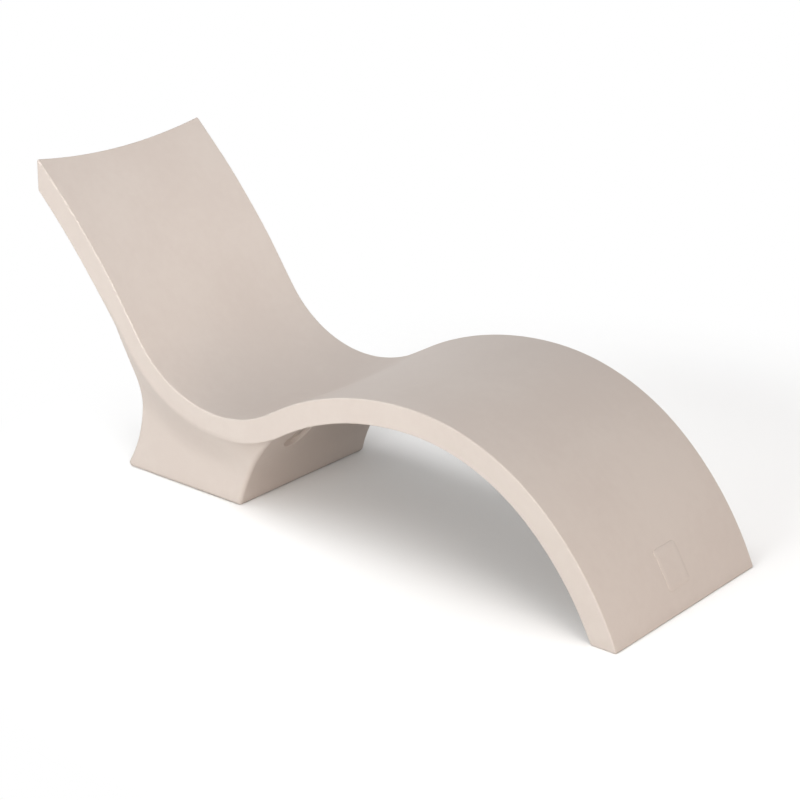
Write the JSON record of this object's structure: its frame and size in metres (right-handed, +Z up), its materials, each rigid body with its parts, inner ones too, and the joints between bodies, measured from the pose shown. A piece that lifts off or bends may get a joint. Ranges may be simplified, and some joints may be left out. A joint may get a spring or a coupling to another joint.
{
  "type": "chaise longue",
  "caption": "Hollow moulded plastic chaise longue for shallow water: an S-curved dished slab on a waisted pedestal, with screw plugs for filling and draining.",
  "frame": {"origin": "on the floor, at the middle of the outline seen from above", "axes": "+X along the length to the foot end, +Y across the width, +Z up"},
  "size_m": [1.8576, 0.6, 0.8132],
  "materials": {
    "shell": "fine-grained moulded polyethylene, warm beige",
    "fitting": "smooth natural polyethylene",
    "plug": "moulded polypropylene, taupe",
    "seal": "black sealing rubber"
  },
  "bodies": {
    "shell": {"shell": "shell", "base_fitting": "fitting", "head_fitting": "fitting"},
    "base_seal": {"base_seal": "seal"},
    "base_plug": {"base_plug": "plug"},
    "head_seal": {"head_seal": "seal"},
    "head_plug": {"head_plug": "plug"}
  },
  "joints": [
    {"name": "base_plug_lift", "type": "slide", "parent": "shell", "child": "base_seal", "axis": [0.7483, 0, -0.6634], "range_m": [0, 0.015]},
    {"name": "base_plug_turn", "type": "hinge", "parent": "base_seal", "child": "base_plug", "pos_m": [-0.1874, -0.13, 0.19561], "axis": [0.7483, 0, -0.6634], "range_deg": [0, 1800]},
    {"name": "head_plug_lift", "type": "slide", "parent": "shell", "child": "head_seal", "axis": [-0.7587, 0, -0.6514], "range_m": [0, 0.015]},
    {"name": "head_plug_turn", "type": "hinge", "parent": "head_seal", "child": "head_plug", "pos_m": [-0.77661, -0.13, 0.59236], "axis": [-0.7587, 0, -0.6514], "range_deg": [0, 1800]}
  ],
  "couplings": [
    {"joint": "base_plug_lift", "follows": "base_plug_turn", "m_per_rad": 0.00047746},
    {"joint": "head_plug_lift", "follows": "head_plug_turn", "m_per_rad": 0.00047746}
  ]
}
